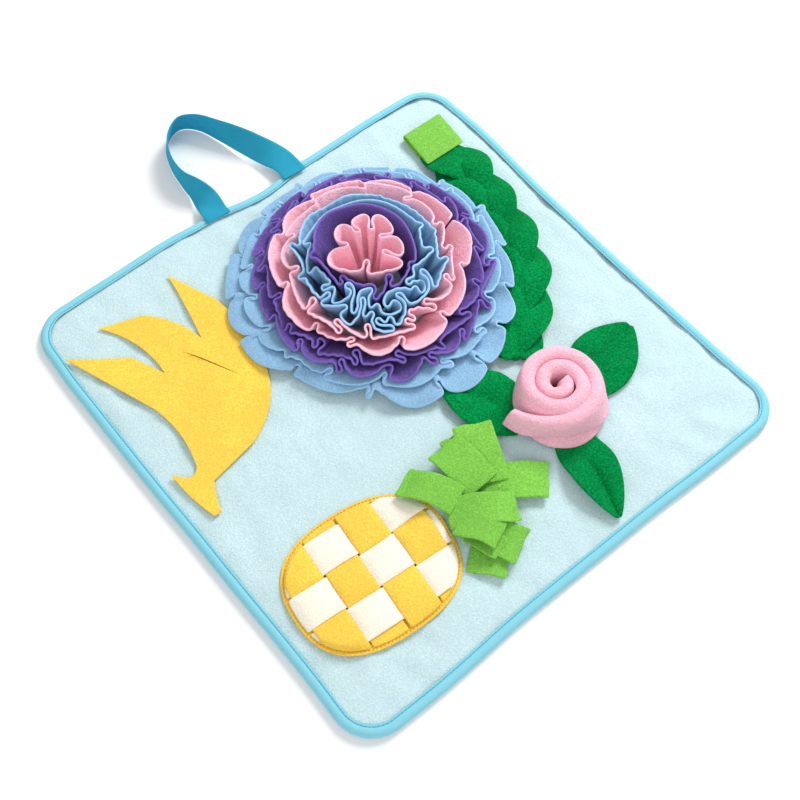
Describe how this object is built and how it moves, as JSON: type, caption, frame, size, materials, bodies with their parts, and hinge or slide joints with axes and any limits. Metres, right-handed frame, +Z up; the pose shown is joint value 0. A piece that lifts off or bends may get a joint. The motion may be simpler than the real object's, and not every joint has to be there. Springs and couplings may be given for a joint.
{
  "type": "snuffle mat",
  "caption": "Square fleece mat with a bound edge and a webbing handle, carrying a ruffled flower, a banana bunch, a woven pineapple, a plait and a rolled rose that hide treats.",
  "frame": {"origin": "centre of the mat's underside", "axes": "+X along the handle's edge, +Y towards the handle, +Z up"},
  "size_m": [0.492, 0.6139, 0.0687],
  "materials": {
    "aqua": "matte fleece",
    "binding_blue": "woven webbing",
    "handle_blue": "woven webbing",
    "yellow": "matte fleece",
    "white": "matte fleece",
    "lime": "matte fleece",
    "dark_green": "matte fleece",
    "pink": "matte fleece",
    "light_blue": "matte fleece",
    "violet": "matte fleece"
  },
  "bodies": {
    "root": {"mat_pad": "aqua", "edge_binding": "binding_blue", "handle_webbing": "handle_blue", "ruffle_1_light_blue": "light_blue", "ruffle_2_light_blue": "light_blue", "ruffle_3_violet": "violet", "ruffle_4_violet": "violet", "ruffle_5_pink": "pink", "ruffle_6_pink": "pink", "ruffle_7_light_blue": "light_blue", "ruffle_8_light_blue": "light_blue", "ruffle_9_violet": "violet", "ruffle_heart_pink": "pink", "banana_patch": "yellow", "pineapple_base": "yellow", "upright_strip_1": "yellow", "upright_strip_2": "yellow", "upright_strip_3": "yellow", "upright_strip_4": "yellow", "level_strip_1": "white", "level_strip_2": "white", "level_strip_3": "white", "crown_strip_1": "lime", "crown_strip_2": "lime", "crown_strip_3": "lime", "crown_strip_4": "lime", "crown_strip_5": "lime", "crown_strip_6": "lime", "crown_strip_7": "lime", "crown_strip_8": "lime", "crown_strip_9": "lime", "crown_strip_10": "lime", "plait": "dark_green", "plait_loop": "lime", "rolled_rose": "pink", "leaf_1": "dark_green", "leaf_2": "dark_green", "leaf_3": "dark_green"}
  },
  "joints": []
}
